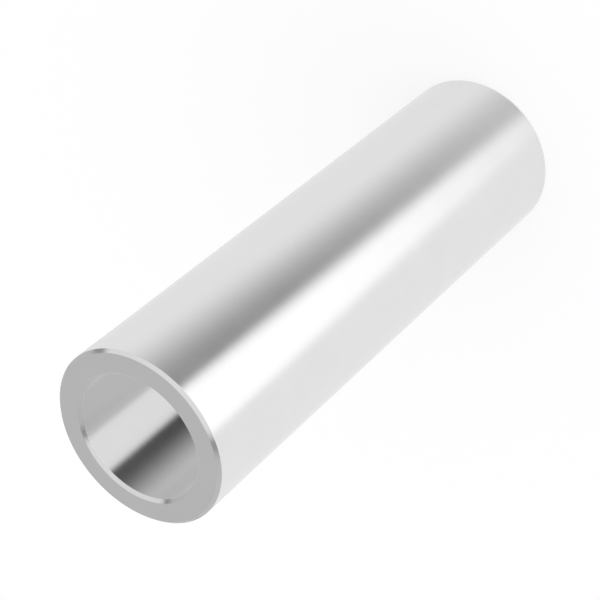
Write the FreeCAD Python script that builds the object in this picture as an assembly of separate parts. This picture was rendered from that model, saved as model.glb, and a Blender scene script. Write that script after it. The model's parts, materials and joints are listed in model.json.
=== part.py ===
import FreeCAD, Part
import os

# Turned spacer sleeve, standing on one end face. The bore runs along +Z through the origin,
# the lower end face lies at z = 0, and both ends are the same. Lengths are in millimetres.

# Size of the sleeve. The bore lets an M4 screw through with play.
outer_diameter = 6.0
bore_diameter = 4.3
length = 20.6

# Leg of the 45 degree chamfer that breaks each edge of the end faces.
outer_edge_chamfer = 0.1
bore_edge_chamfer = 0.1


def wall_section():
    """Closed half section of the wall in the XZ plane, with its four chamfered corners."""
    outer_radius = outer_diameter / 2
    bore_radius = bore_diameter / 2
    corners = [
        (bore_radius + bore_edge_chamfer, 0),
        (outer_radius - outer_edge_chamfer, 0),
        (outer_radius, outer_edge_chamfer),
        (outer_radius, length - outer_edge_chamfer),
        (outer_radius - outer_edge_chamfer, length),
        (bore_radius + bore_edge_chamfer, length),
        (bore_radius, length - bore_edge_chamfer),
        (bore_radius, bore_edge_chamfer),
    ]
    points = [FreeCAD.Vector(radius, 0, height) for radius, height in corners]
    return Part.Face(Part.makePolygon(points + points[:1]))


def spacer_sleeve():
    """The wall section turned once round the bore's axis."""
    bore_axis = FreeCAD.Vector(0, 0, 1)
    full_turn = 360
    return wall_section().revolve(FreeCAD.Vector(0, 0, 0), bore_axis, full_turn)


def write_node(name, shape):
    """Write one closed solid to its own STEP file."""
    if not shape.isValid() or len(shape.Solids) != 1:
        raise RuntimeError(name + " is not one valid solid")
    shape.exportStep("parts/" + name + ".step")
    print(name, "volume", round(shape.Volume, 3), "mm3, area", round(shape.Area, 3), "mm2")


os.makedirs("parts", exist_ok=True)
write_node("spacer_sleeve", spacer_sleeve())
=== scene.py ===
"""A turned spacer sleeve on a pale studio floor, laid out as an add-on and run as a script."""

import json
import math

import bmesh
import bpy
from mathutils import Matrix, Vector


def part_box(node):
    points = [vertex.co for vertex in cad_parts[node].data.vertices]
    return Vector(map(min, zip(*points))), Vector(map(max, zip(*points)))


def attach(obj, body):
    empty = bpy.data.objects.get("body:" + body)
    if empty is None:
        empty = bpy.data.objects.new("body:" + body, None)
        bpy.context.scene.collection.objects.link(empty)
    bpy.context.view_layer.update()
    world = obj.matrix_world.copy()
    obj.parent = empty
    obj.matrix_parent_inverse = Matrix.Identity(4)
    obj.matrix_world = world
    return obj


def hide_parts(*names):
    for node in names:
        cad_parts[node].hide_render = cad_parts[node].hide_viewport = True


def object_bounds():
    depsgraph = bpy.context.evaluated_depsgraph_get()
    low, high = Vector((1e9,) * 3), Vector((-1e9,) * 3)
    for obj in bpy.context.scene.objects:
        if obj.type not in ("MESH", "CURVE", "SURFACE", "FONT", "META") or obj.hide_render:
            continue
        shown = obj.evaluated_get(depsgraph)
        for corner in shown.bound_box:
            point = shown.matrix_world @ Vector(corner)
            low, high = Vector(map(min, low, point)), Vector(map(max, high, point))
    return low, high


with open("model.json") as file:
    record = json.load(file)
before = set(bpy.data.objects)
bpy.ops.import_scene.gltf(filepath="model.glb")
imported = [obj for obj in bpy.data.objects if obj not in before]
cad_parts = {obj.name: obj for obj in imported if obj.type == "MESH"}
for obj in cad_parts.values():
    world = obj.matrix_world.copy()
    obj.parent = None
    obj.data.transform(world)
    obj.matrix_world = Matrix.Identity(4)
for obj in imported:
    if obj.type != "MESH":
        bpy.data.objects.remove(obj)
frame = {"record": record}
cad_low, cad_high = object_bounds()

bl_info = {
    "name": "Spacer Sleeve",
    "version": (1, 0, 0),
    "blender": (4, 5, 0),
    "location": "View3D > Sidebar > Sleeve",
    "description": "Builds a bright turned spacer sleeve and the studio it stands in",
    "category": "Add Mesh",
}

# The sleeve's sizes as the frame gives them, in metres. The bore's wall ends at its chamfers.
MM = 0.001
SLEEVE_NODE = "spacer_sleeve"
node_low, node_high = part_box(SLEEVE_NODE)
bore_mount = next(mount for mount in frame["record"]["mounts"] if mount["name"] == "bore")
FRAME_OUTER_RADIUS = max(node_high.x, node_high.y)
FRAME_LENGTH = node_high.z - node_low.z
FRAME_BORE_RADIUS = bore_mount["dims"]["r_mm"] * MM
FRAME_CHAMFER = (FRAME_LENGTH - bore_mount["dims"]["length_mm"] * MM) / 2

# Points of the turned mesh that lie closer than this share of an edge break are one point.
MERGE_SHARE = 0.05

# The turning lines and the clouds of the finish. Broad lines are so many fine ones apart, and have a
# share of the relief and of the tone. Noise runs from 0 to 1, round its middle.
BROAD_LINE_STEP = 9
BROAD_LINE_RELIEF = 0.4
BROAD_LINE_TONE = 0.6
LINE_UNEVENNESS = 0.6
RADIUS_WEIGHT = 1.7
NOISE_MIDDLE = 0.5

# The studio. The key lamp is as wide as its spread, and leans from straight overhead.
FLOOR_SIDE = 2.0
KEY_LAMP_SPREAD = math.radians(70)
KEY_LAMP_LEAN = (math.radians(20), math.radians(-15), 0)

# Where the photograph shows the sleeve, in its own 600 pixel square: the middle of the upper end face,
# how the bore's axis runs in the picture from there, with 0 to the right and down positive, and how
# far it turns from the line of sight. The depth of that middle is in outer radii, and the camera
# sees from a hundredth of it to a hundred times it.
PHOTO_SIDE = 600
TOP_CENTRE_PIXEL = (136.782, 439.132)
TOP_CENTRE_DEPTH = 17.885
AXIS_SCREEN_ANGLE = math.radians(-40.109)
AXIS_TILT = math.radians(45.947)
FOCAL_PIXELS = 1820.0
SENSOR_WIDTH = 36.0
CLIP_REACH = 100

# The tent that the metal mirrors, by direction in degrees. Azimuth is 0 on the -Y side and 90 on the +X
# side, left is towards smaller azimuths, and elevation is 0 at the horizon. What has a first and a
# last goes from one to the other between its start and its end. Reach and softness are how far an
# edge is softened on both sides, and an end reach is the second edge's own.
STRIP_LEFT_EDGE = {"start": -38, "end": -54, "first": -52, "last": -32.5}
STRIP_SOFTNESS = {"start": -40, "end": -48, "first": 6, "last": 10}
STRIP_STRENGTH = {"start": -46, "end": -55, "first": 0.50, "last": 0}

FLAG_LEAN_TOP = -37.7
FLAG_LEFT_EDGE = 12.035
FLAG_LEAN = 0.95
FLAG_SOFTNESS = {"start": -38.5, "end": -44, "first": 6.8, "last": 12.8}
FLAG_FADE_MIDDLE = {"start": -36, "end": -47, "first": 65, "last": 46}
FLAG_FADE_REACH = {"start": -38, "end": -46, "first": 37, "last": 31.4}
FLAG_DEPTH = {"start": -40, "end": -64, "first": 0.927, "last": 0.033}
FLAG_TOP_LOSS = {"start": -39, "end": -37.5, "first": 0, "last": 0.11}

FRONT_STRENGTH = 0.84
FRONT_LEFT_EDGE = -53.5
FRONT_LEFT_REACH = 7
FRONT_RIGHT_EDGE = {"start": 19.2, "end": 26.4, "first": 104, "last": 112.5}
FRONT_RIGHT_REACH = 5
LEFT_SEAM = {"start": -75, "end": -60.5, "reach": 9, "end_reach": 4}
LEFT_SEAM_DEPTH = 0.98
RIGHT_SEAM_START = 4
RIGHT_SEAM_END = 15.7
RIGHT_SEAM_REACH = 4.5
RIGHT_SEAM_DEPTH = 0.88
BACK_GREY = {"start": 22, "end": 34, "first": 0.435, "last": 0.395}
BACK_GREY_GAIN = {"start": -8, "end": 14, "first": 0.07, "last": 0}

BORE_HEIGHT = {"start": -39.5, "end": -38}
BORE_LIFT = {"start": -90, "end": -70, "first": 0.03, "last": 0}
BORE_DROP = {"start": 150, "end": 180, "first": 0, "last": 0.30}

REAR_HEIGHT = {"start": -30, "end": -8, "reach": 4}
REAR_STRIP = {"start": 107, "end": 127, "reach": 7}
REAR_STRIP_STRENGTH = 0.75
REAR_FLAG = {"start": 136, "end": 150, "reach": 5}
REAR_FLAG_DEPTH = 0.30

UNDER_DIMMING = {"start": -56, "end": -78, "first": 1, "last": 0.5}
UPPER_START_IN_FRONT = {"start": 5, "end": 28}
UPPER_START_BEHIND = {"start": -36, "end": -31}
LOW_FRONT = {"start": -66, "end": 100, "reach": 14}


class Wire:
    """A shader socket that Python's own signs work on."""

    def __init__(self, bench, socket):
        self.bench = bench
        self.socket = socket

    def math(self, operation, other=None):
        """Send this wire through a Math node, with a second value where it takes one."""
        sockets = {0: self}
        if other is not None:
            sockets[1] = other
        return self.bench.node("ShaderNodeMath", {"operation": operation}, sockets)

    def flipped(self, operation, other):
        """The same with this wire second."""
        return self.bench.node("ShaderNodeMath", {"operation": operation}, {0: other, 1: self})

    def __add__(self, other):
        return self.math("ADD", other)

    def __radd__(self, other):
        return self.flipped("ADD", other)

    def __sub__(self, other):
        return self.math("SUBTRACT", other)

    def __rsub__(self, other):
        return self.flipped("SUBTRACT", other)

    def __mul__(self, other):
        return self.math("MULTIPLY", other)

    def __rmul__(self, other):
        return self.flipped("MULTIPLY", other)


class Bench:
    """A node tree that is being wired."""

    def __init__(self, tree):
        self.tree = tree
        self.tree.nodes.clear()

    def node(self, kind, settings=None, sockets=None, output=0):
        """Add one node: its settings first, then the values or wires of its sockets."""
        made = self.tree.nodes.new(kind)
        for name, value in (settings or {}).items():
            setattr(made, name, value)
        for key, value in (sockets or {}).items():
            if isinstance(value, Wire):
                self.tree.links.new(value.socket, made.inputs[key])
            else:
                made.inputs[key].default_value = value
        if not made.outputs:
            return made
        return Wire(self, made.outputs[output])

    def ease(self, value, start, end, first=0, last=1):
        """Go gently from first to last while value goes from start to end."""
        settings = {"interpolation_type": "SMOOTHSTEP"}
        sockets = {"Value": value, "From Min": start, "From Max": end, "To Min": first, "To Max": last}
        return self.node("ShaderNodeMapRange", settings, sockets)

    def step(self, value, middle, reach):
        """Rise gently from 0 to 1 round a middle, within reach of it on both sides."""
        return self.ease(value, middle - reach, middle + reach)

    def between(self, value, start, end, reach, end_reach=None):
        """1 from start to end, with both softened over reach, unless the end has its own."""
        return self.step(value, start, reach) * (1 - self.step(value, end, end_reach or reach))

    def blend(self, share, first, second):
        """Go from first to second as share goes from 0 to 1."""
        return first + (second - first) * share

    def split(self, vector):
        """The three numbers of a vector."""
        parts = self.node("ShaderNodeSeparateXYZ", sockets={0: vector}).socket.node
        return [Wire(self, part) for part in parts.outputs]

    def lines(self, position, pitch, detail):
        """Uneven parallel lines, from 0 to 1, about one pitch apart along a position."""
        settings = {"noise_dimensions": "1D"}
        sockets = {"W": position, "Scale": 1 / pitch, "Detail": detail, "Roughness": LINE_UNEVENNESS}
        return self.node("ShaderNodeTexNoise", settings, sockets)


class SleeveSizes(bpy.types.PropertyGroup):
    """Sizes of the sleeve."""

    outer_radius: bpy.props.FloatProperty(
        name="Outer radius", description="Radius of the outer wall",
        default=FRAME_OUTER_RADIUS, unit="LENGTH", precision=5)
    bore_radius: bpy.props.FloatProperty(
        name="Bore radius", description="Radius of the through bore",
        default=FRAME_BORE_RADIUS, unit="LENGTH", precision=5)
    length: bpy.props.FloatProperty(
        name="Length", description="Distance between the two end faces",
        default=FRAME_LENGTH, unit="LENGTH", precision=5)
    outer_chamfer: bpy.props.FloatProperty(
        name="Outer chamfer", description="Leg of the chamfer on the outer edges",
        default=FRAME_CHAMFER, unit="LENGTH", precision=6)
    bore_chamfer: bpy.props.FloatProperty(
        name="Bore chamfer", description="Leg of the chamfer at both mouths of the bore",
        default=FRAME_CHAMFER, unit="LENGTH", precision=6)
    edge_break: bpy.props.FloatProperty(
        name="Edge break", description="How far the rounding reaches from each chamfer edge",
        default=0.004 * MM, unit="LENGTH", precision=7)
    edge_break_steps: bpy.props.IntProperty(
        name="Edge break steps", description="Facets across the rounding of a chamfer edge",
        default=3, min=1)
    support_gap: bpy.props.FloatProperty(
        name="Support gap", description="Distance from a rounded edge to the loop that keeps its side flat",
        default=0.003 * MM, unit="LENGTH", precision=7)
    facets: bpy.props.IntProperty(
        name="Facets", description="Facets round the sleeve", default=512, min=32)


class SleeveFinish(bpy.types.PropertyGroup):
    """Colours and gloss of the metal."""

    metal: bpy.props.FloatVectorProperty(
        name="Metal", description="Colour of the bright turned metal", subtype="COLOR",
        size=3, min=0, max=1, default=(0.752, 0.752, 0.758))
    metallic: bpy.props.FloatProperty(
        name="Metallic", description="Share of clear reflection outside the bore, the rest being satin",
        default=0.70, subtype="FACTOR", min=0, max=1)
    roughness: bpy.props.FloatProperty(
        name="Roughness", description="Roughness outside the bore",
        default=0.14, subtype="FACTOR", min=0, max=1)
    edge_tint: bpy.props.FloatProperty(
        name="Edge tint", description="Reflection at a glancing angle, beside that of a plain metal",
        default=0.95, subtype="FACTOR", min=0, max=1)
    # The bore's darker colour is painted shade. It stands in for the shadow that the bore's own wall would
    # cast, which the metal doesn't mirror.
    bore_metal_painted_shade: bpy.props.FloatVectorProperty(
        name="Bore metal", description="Colour of the darker reamed bore", subtype="COLOR",
        size=3, min=0, max=1, default=(0.476, 0.476, 0.481))
    bore_metallic: bpy.props.FloatProperty(
        name="Bore metallic", description="Share of clear reflection in the bore",
        default=1.0, subtype="FACTOR", min=0, max=1)
    bore_roughness: bpy.props.FloatProperty(
        name="Bore roughness", description="Roughness of the reamed bore",
        default=0.16, subtype="FACTOR", min=0, max=1)
    bore_edge_tint: bpy.props.FloatProperty(
        name="Bore edge tint", description="Reflection of the bore at a glancing angle",
        default=0.77, subtype="FACTOR", min=0, max=1)
    line_pitch: bpy.props.FloatProperty(
        name="Line pitch", description="Distance between the finest turning lines",
        default=0.10 * MM, unit="LENGTH", precision=7)
    line_depth: bpy.props.FloatProperty(
        name="Line depth", description="Depth of the turning lines",
        default=0.002 * MM, unit="LENGTH", precision=7)
    cloud_size: bpy.props.FloatProperty(
        name="Cloud size", description="Width of the faint clouds in the finish",
        default=2.5 * MM, unit="LENGTH", precision=5)
    tone_change: bpy.props.FloatProperty(
        name="Tone change", description="How much the brightness varies over the metal",
        default=0.04, subtype="FACTOR", min=0, max=1)
    roughness_change: bpy.props.FloatProperty(
        name="Roughness change", description="How much the roughness varies over the metal",
        default=0.05, subtype="FACTOR", min=0, max=1)


class StudioLook(bpy.types.PropertyGroup):
    """Light and floor of the studio."""

    floor_colour: bpy.props.FloatVectorProperty(
        name="Floor", description="Colour of the pale floor", subtype="COLOR",
        size=3, min=0, max=1, default=(0.92, 0.92, 0.92))
    floor_wash: bpy.props.FloatProperty(
        name="Floor wash", description="Share of plain white in the floor as the camera sees it",
        default=0.75, subtype="FACTOR", min=0, max=1)
    sky: bpy.props.FloatProperty(
        name="Sky", description="Strength of the even light from all round", default=0.80, min=0)
    key: bpy.props.FloatProperty(
        name="Key", description="Strength of the soft key lamp", default=1.00, min=0)


def clear_selection():
    """Leave object mode clean: the frame's own nodes are selected after it is loaded."""
    if bpy.context.mode != "OBJECT":
        bpy.ops.object.mode_set(mode="OBJECT")
    bpy.ops.object.select_all(action="DESELECT")


def place_in_mesh(piece):
    """Put the object at the origin, unturned and unscaled, with its place in its mesh."""
    bpy.ops.object.select_all(action="DESELECT")
    piece.select_set(True)
    bpy.context.view_layer.objects.active = piece
    bpy.ops.object.transform_apply(location=True, rotation=True, scale=True)


def add_half_section(outer, bore, length):
    """Start from a rectangle in the XZ plane: one side of the tube, cut through its axis."""
    middle = ((outer + bore) / 2, 0, length / 2)
    bpy.ops.mesh.primitive_plane_add(size=1, location=middle, rotation=(math.pi / 2, 0, 0))
    section = bpy.context.object
    section.scale = (outer - bore, length, 1)
    place_in_mesh(section)
    bpy.ops.object.mode_set(mode="EDIT")
    bpy.ops.mesh.select_mode(type="VERT")
    return section


def cut_corners(wanted, reach, steps):
    """Bevel the section's corners whose radius is wanted: one step chamfers them, more steps round them."""
    mesh = bmesh.from_edit_mesh(bpy.context.object.data)
    bpy.ops.mesh.select_all(action="DESELECT")
    for corner in mesh.verts:
        corner.select_set(wanted(corner.co.x))
    mesh.select_flush_mode()
    bmesh.update_edit_mesh(bpy.context.object.data)
    bpy.ops.mesh.bevel(affect="VERTICES", offset_type="OFFSET", offset=reach, segments=steps)


def turn_section(facets, merge_reach):
    """Spin the section's outline once round the bore's axis and close the seam."""
    bpy.ops.mesh.select_all(action="SELECT")
    bpy.ops.mesh.delete(type="ONLY_FACE")
    bpy.ops.mesh.select_all(action="SELECT")
    bpy.ops.mesh.spin(steps=facets, angle=2 * math.pi, center=(0, 0, 0), axis=(0, 0, 1))
    bpy.ops.mesh.select_all(action="SELECT")
    bpy.ops.mesh.remove_doubles(threshold=merge_reach)
    bpy.ops.mesh.normals_make_consistent(inside=False)


def add_support_loops(narrowest, gap):
    """Inset the walls, end faces and chamfers, so that the smooth shading turns only at their edges."""
    bpy.ops.mesh.select_mode(type="FACE")
    mesh = bmesh.from_edit_mesh(bpy.context.object.data)
    bpy.ops.mesh.select_all(action="DESELECT")
    for face in mesh.faces:
        corners = [(vertex.co.xy.length, vertex.co.z) for vertex in face.verts]
        section_width = max(math.dist(first, second) for first in corners for second in corners)
        face.select_set(section_width > narrowest)
    bmesh.update_edit_mesh(bpy.context.object.data)
    bpy.ops.mesh.inset(thickness=gap, depth=0, use_boundary=True, use_even_offset=True)


def model_sleeve(sizes):
    """Turn the sleeve from its section, standing on its lower end face."""
    # Blender merges and clips at about a thousandth of a millimetre, so the mesh is worked in
    # millimetres and brought down to metres when it is finished.
    outer = sizes.outer_radius / MM
    bore = sizes.bore_radius / MM
    length = sizes.length / MM
    outer_chamfer = sizes.outer_chamfer / MM
    bore_chamfer = sizes.bore_chamfer / MM
    edge_break = sizes.edge_break / MM
    support_gap = sizes.support_gap / MM
    middle = (outer + bore) / 2

    clear_selection()
    sleeve = add_half_section(outer, bore, length)
    cut_corners(lambda radius: radius > middle, outer_chamfer, 1)
    cut_corners(lambda radius: radius < middle, bore_chamfer, 1)
    cut_corners(lambda radius: True, edge_break, sizes.edge_break_steps)
    turn_section(sizes.facets, edge_break * MERGE_SHARE)

    # Only a strip with room for a loop beside both of its edges gets them.
    narrowest = 2 * (edge_break + support_gap)
    add_support_loops(narrowest, support_gap)
    bpy.ops.object.mode_set(mode="OBJECT")
    sleeve.scale = (MM, MM, MM)
    place_in_mesh(sleeve)
    return sleeve


def steel_material(name, finish, metal, metallic, roughness, edge_tint):
    """Steel with tool lines that run round the walls and over the end faces, and with faint clouds."""
    material = bpy.data.materials.new(name)
    material.use_nodes = True
    bench = Bench(material.node_tree)
    place = bench.node("ShaderNodeTexCoord", output="Object")
    x, y, z = bench.split(place)
    radius = (x * x + y * y).math("SQRT")

    # The tool moves along the section: up the walls, and across the faces and chamfers. Radius
    # counts for more than height, or the two would cancel out across some of the chamfers.
    along_section = z + radius * RADIUS_WEIGHT
    fine_lines = bench.lines(along_section, finish.line_pitch, detail=2)
    broad_lines = bench.lines(along_section, finish.line_pitch * BROAD_LINE_STEP, detail=3)
    clouds = bench.node("ShaderNodeTexNoise", sockets={"Vector": place, "Scale": 1 / finish.cloud_size})
    tone = (broad_lines - NOISE_MIDDLE) * BROAD_LINE_TONE + (clouds - NOISE_MIDDLE)

    colour = bench.node("ShaderNodeVectorMath", {"operation": "SCALE"}, {
        0: tuple(metal), "Scale": 1 + tone * finish.tone_change})
    relief = bench.node("ShaderNodeBump", sockets={
        "Distance": finish.line_depth,
        "Height": bench.blend(BROAD_LINE_RELIEF, fine_lines, broad_lines)})
    shader = bench.node("ShaderNodeBsdfPrincipled", sockets={
        "Base Color": colour,
        "Metallic": metallic,
        "Roughness": roughness + tone * finish.roughness_change,
        "Specular IOR Level": 0,
        "Specular Tint": (edge_tint, edge_tint, edge_tint, 1),
        "Normal": relief})
    bench.node("ShaderNodeOutputMaterial", sockets={"Surface": shader})
    return material


def finish_sleeve(sleeve, sizes, finish):
    """Bright turned steel outside, on the end faces and the chamfers, and a reamed bore whose darker colour
    is painted shade.
    """
    turned = steel_material(
        "bright_turned_steel", finish,
        finish.metal, finish.metallic, finish.roughness, finish.edge_tint)
    # The reamed bore's darker colour is painted shade, in place of the shadow of its own wall.
    reamed_bore_painted_shade = steel_material(
        "reamed_bore_steel_painted_shade", finish,
        finish.bore_metal_painted_shade, finish.bore_metallic, finish.bore_roughness, finish.bore_edge_tint)
    slots = sleeve.data.materials
    slots.append(turned)
    slots.append(reamed_bore_painted_shade)
    reamed_bore_painted_shade_slot = slots.find(reamed_bore_painted_shade.name)

    # The reaming and the bore's painted shade end with the bore's wall. The rounding beside it is turned,
    # as the chamfer is.
    wall_reach = sizes.bore_radius + sizes.edge_break * MERGE_SHARE
    for face in sleeve.data.polygons:
        corners = [sleeve.data.vertices[index].co for index in face.vertices]
        if all(corner.xy.length < wall_reach for corner in corners):
            face.material_index = reamed_bore_painted_shade_slot


class SLEEVE_OT_build_sleeve(bpy.types.Operator):
    """Model the spacer sleeve and give it its turned metal"""

    bl_idname = "spacer.build_sleeve"
    bl_label = "Spacer sleeve"

    def execute(self, context):
        sizes = context.scene.sleeve_sizes
        finish = context.scene.sleeve_finish
        sleeve = model_sleeve(sizes)
        sleeve.name = "turned_sleeve"
        sleeve.data.name = "turned_sleeve"
        bpy.ops.object.shade_smooth()
        finish_sleeve(sleeve, sizes, finish)

        # The bore mirrors the tent, and not its own far wall.
        sleeve.visible_glossy = False
        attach(sleeve, "root")
        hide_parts(SLEEVE_NODE)
        return {"FINISHED"}


def floor_material(look):
    """Pale floor that keeps the sleeve's shadow and is washed with white for the camera alone."""
    material = bpy.data.materials.new("pale_floor")
    material.use_nodes = True
    bench = Bench(material.node_tree)
    seen = bench.node("ShaderNodeLightPath", output="Is Camera Ray")
    matt = bench.node("ShaderNodeBsdfDiffuse", sockets={"Color": (*look.floor_colour, 1)})
    white = bench.node("ShaderNodeEmission", sockets={"Color": (1, 1, 1, 1), "Strength": 1})
    mixed = bench.node("ShaderNodeMixShader", sockets={0: seen * look.floor_wash, 1: matt, 2: white})
    bench.node("ShaderNodeOutputMaterial", sockets={"Surface": mixed})
    return material


def flag_edge(bench, azimuth, elevation):
    """1 to the right of the black flag's left edge, which leans to the left further down."""
    below_top = (FLAG_LEAN_TOP - elevation).math("MAXIMUM", 0)
    left_edge = FLAG_LEFT_EDGE - FLAG_LEAN * below_top
    return bench.step(azimuth, left_edge, bench.ease(elevation, **FLAG_SOFTNESS))


def black_flag(bench, azimuth, elevation):
    """How dark the flag is: it fades to the right, and further down."""
    fade_middle = bench.ease(elevation, **FLAG_FADE_MIDDLE)
    fade_reach = bench.ease(elevation, **FLAG_FADE_REACH)
    depth = bench.ease(elevation, **FLAG_DEPTH) - bench.ease(elevation, **FLAG_TOP_LOSS)
    return depth * (1 - bench.step(azimuth, fade_middle, fade_reach))


def strip_light(bench, azimuth, elevation):
    """A bright strip low in front of the sleeve, dimmer and narrower further down."""
    left_edge = bench.ease(elevation, **STRIP_LEFT_EDGE)
    lit = bench.step(azimuth, left_edge, bench.ease(elevation, **STRIP_SOFTNESS))
    return lit * bench.ease(elevation, **STRIP_STRENGTH)


def bore_side(bench, azimuth, elevation):
    """Small changes of tone in the part of the tent that the bore alone mirrors."""
    lift = bench.ease(azimuth, **BORE_LIFT)
    drop = bench.ease(azimuth.math("ABSOLUTE"), **BORE_DROP)
    return bench.ease(elevation, **BORE_HEIGHT) * (lift - drop)


def upper_tent(bench, azimuth, elevation):
    """The tent above the sleeve: white in front and grey behind, with a dark seam on each side."""
    right_edge = bench.ease(elevation, **FRONT_RIGHT_EDGE)
    front = bench.between(azimuth, FRONT_LEFT_EDGE, right_edge, FRONT_LEFT_REACH, FRONT_RIGHT_REACH)
    left_seam = bench.between(azimuth, **LEFT_SEAM) * LEFT_SEAM_DEPTH
    right_seam = RIGHT_SEAM_DEPTH * bench.between(
        azimuth, right_edge + RIGHT_SEAM_START, right_edge + RIGHT_SEAM_END, RIGHT_SEAM_REACH)
    grey = bench.ease(elevation, **BACK_GREY) + bench.ease(elevation, **BACK_GREY_GAIN)
    return bench.blend(front, grey, FRONT_STRENGTH) * (1 - left_seam - right_seam)


def rear_lights(bench, azimuth, elevation):
    """A strip light and a grey flag low on each side behind, which round off the sleeve's back."""
    aside = azimuth.math("ABSOLUTE")
    strip = bench.between(aside, **REAR_STRIP)
    flag = bench.between(aside, **REAR_FLAG)
    height = bench.between(elevation, **REAR_HEIGHT)
    return height * (strip * REAR_STRIP_STRENGTH - flag * REAR_FLAG_DEPTH)


def tent_pattern(bench):
    """What the metal mirrors: a white tent with a strip light and a black flag low in front."""
    direction = bench.node("ShaderNodeTexCoord", output="Generated")
    x, y, z = bench.split(direction)
    azimuth = x.math("ARCTAN2", y * -1) * math.degrees(1)
    elevation = z.math("ARCSINE") * math.degrees(1)

    past_edge = flag_edge(bench, azimuth, elevation)
    flag = past_edge * black_flag(bench, azimuth, elevation)
    strip = (1 - past_edge) * strip_light(bench, azimuth, elevation)
    lower = 1 - flag + strip + bore_side(bench, azimuth, elevation)
    lower = lower * bench.ease(elevation, **UNDER_DIMMING)

    rise_in_front = bench.ease(elevation, **UPPER_START_IN_FRONT)
    rise_behind = bench.ease(elevation, **UPPER_START_BEHIND)
    rise = bench.blend(bench.between(azimuth, **LOW_FRONT), rise_behind, rise_in_front)
    tent = bench.blend(rise, lower, upper_tent(bench, azimuth, elevation))
    return tent + rear_lights(bench, azimuth, elevation)


def build_world(look):
    """Even light from all round, the tent for the metal to mirror and plain white for the camera."""
    world = bpy.data.worlds.new("studio_tent")
    world.use_nodes = True
    bench = Bench(world.node_tree)
    seen = bench.node("ShaderNodeLightPath", output="Is Camera Ray")
    mirrored = bench.node("ShaderNodeLightPath", output="Is Glossy Ray")
    lit = bench.blend(mirrored, look.sky, tent_pattern(bench))
    strength = bench.blend(seen, lit, 1)
    light = bench.node("ShaderNodeBackground", sockets={"Color": (1, 1, 1, 1), "Strength": strength})
    bench.node("ShaderNodeOutputWorld", sockets={"Surface": light})
    bpy.context.scene.world = world


def add_floor(look):
    """A wide pale floor under the sleeve, which the metal doesn't mirror."""
    clear_selection()
    bpy.ops.mesh.primitive_plane_add(size=FLOOR_SIDE, location=(0, 0, cad_low.z))
    floor = bpy.context.object
    floor.name = "floor"
    place_in_mesh(floor)
    floor.data.materials.append(floor_material(look))
    floor.visible_glossy = False


def add_key_lamp(look):
    """A very wide soft lamp overhead, so that the sleeve keeps a faint shadow."""
    lamp = bpy.data.lights.new("key_lamp", "SUN")
    lamp.energy = look.key
    lamp.angle = KEY_LAMP_SPREAD
    holder = bpy.data.objects.new("key_lamp", lamp)
    holder.rotation_euler = KEY_LAMP_LEAN
    holder.visible_glossy = False
    bpy.context.scene.collection.objects.link(holder)


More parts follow.
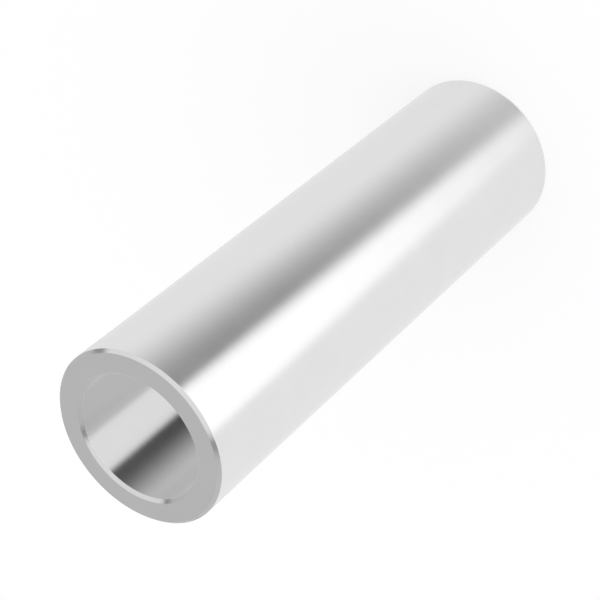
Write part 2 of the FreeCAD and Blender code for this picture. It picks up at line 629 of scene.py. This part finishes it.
def add_camera(sizes):
    """Stand the camera where the photograph was taken from, found from the sleeve's place in it."""
    away = Vector((
        math.cos(AXIS_SCREEN_ANGLE) * math.sin(AXIS_TILT),
        math.sin(AXIS_SCREEN_ANGLE) * math.sin(AXIS_TILT),
        math.cos(AXIS_TILT)))
    depth = TOP_CENTRE_DEPTH * sizes.outer_radius
    across, down = ((pixel - PHOTO_SIDE / 2) / FOCAL_PIXELS for pixel in TOP_CENTRE_PIXEL)
    top = Vector((across * depth, down * depth, depth))

    # The sleeve's own axes as the camera sees them: x right, y down, z forwards.
    sleeve_z = -away
    to_camera = -(top + away * sizes.length / 2)
    sleeve_y = -(to_camera - sleeve_z * to_camera.dot(sleeve_z)).normalized()
    sleeve_x = sleeve_y.cross(sleeve_z)
    to_sleeve = Matrix((sleeve_x, sleeve_y, sleeve_z))

    place = Vector((0, 0, cad_low.z + sizes.length)) - to_sleeve @ top
    right = to_sleeve @ Vector((1, 0, 0))
    up = to_sleeve @ Vector((0, -1, 0))
    back = to_sleeve @ Vector((0, 0, -1))
    turned = Matrix((right, up, back)).transposed()

    lens = bpy.data.cameras.new("photo_camera")
    lens.sensor_width = SENSOR_WIDTH
    lens.lens = SENSOR_WIDTH * FOCAL_PIXELS / PHOTO_SIDE
    lens.clip_start = depth / CLIP_REACH
    lens.clip_end = depth * CLIP_REACH
    camera = bpy.data.objects.new("photo_camera", lens)
    camera.matrix_world = Matrix.Translation(place) @ turned.to_4x4()
    bpy.context.scene.collection.objects.link(camera)
    bpy.context.scene.camera = camera


class SLEEVE_OT_build_studio(bpy.types.Operator):
    """Set the pale floor, the light and the camera round the sleeve"""

    bl_idname = "spacer.build_studio"
    bl_label = "Studio"

    def execute(self, context):
        look = context.scene.studio_look
        add_floor(look)
        build_world(look)
        add_key_lamp(look)
        add_camera(context.scene.sleeve_sizes)
        context.scene.view_settings.view_transform = "Standard"
        return {"FINISHED"}


class SLEEVE_PT_panel(bpy.types.Panel):
    """Lists what can be built"""

    bl_label = "Spacer sleeve"
    bl_idname = "SLEEVE_PT_panel"
    bl_space_type = "VIEW_3D"
    bl_region_type = "UI"
    bl_category = "Sleeve"

    def draw(self, context):
        layout = self.layout
        for group in (context.scene.sleeve_sizes, context.scene.sleeve_finish, context.scene.studio_look):
            box = layout.box()
            for name in group.__annotations__:
                box.prop(group, name)
        layout.operator(SLEEVE_OT_build_sleeve.bl_idname)
        layout.operator(SLEEVE_OT_build_studio.bl_idname)


CLASSES = (
    SleeveSizes,
    SleeveFinish,
    StudioLook,
    SLEEVE_OT_build_sleeve,
    SLEEVE_OT_build_studio,
    SLEEVE_PT_panel,
)


def register():
    """Make the sizes, looks, operators and panel known to Blender."""
    for kind in CLASSES:
        bpy.utils.register_class(kind)
    bpy.types.Scene.sleeve_sizes = bpy.props.PointerProperty(type=SleeveSizes)
    bpy.types.Scene.sleeve_finish = bpy.props.PointerProperty(type=SleeveFinish)
    bpy.types.Scene.studio_look = bpy.props.PointerProperty(type=StudioLook)


def unregister():
    """Take back what register did."""
    del bpy.types.Scene.studio_look
    del bpy.types.Scene.sleeve_finish
    del bpy.types.Scene.sleeve_sizes
    for kind in reversed(CLASSES):
        bpy.utils.unregister_class(kind)


def main():
    """Build the sleeve and its studio."""
    register()
    bpy.ops.spacer.build_sleeve()
    bpy.ops.spacer.build_studio()


if __name__ == "__main__":
    main()
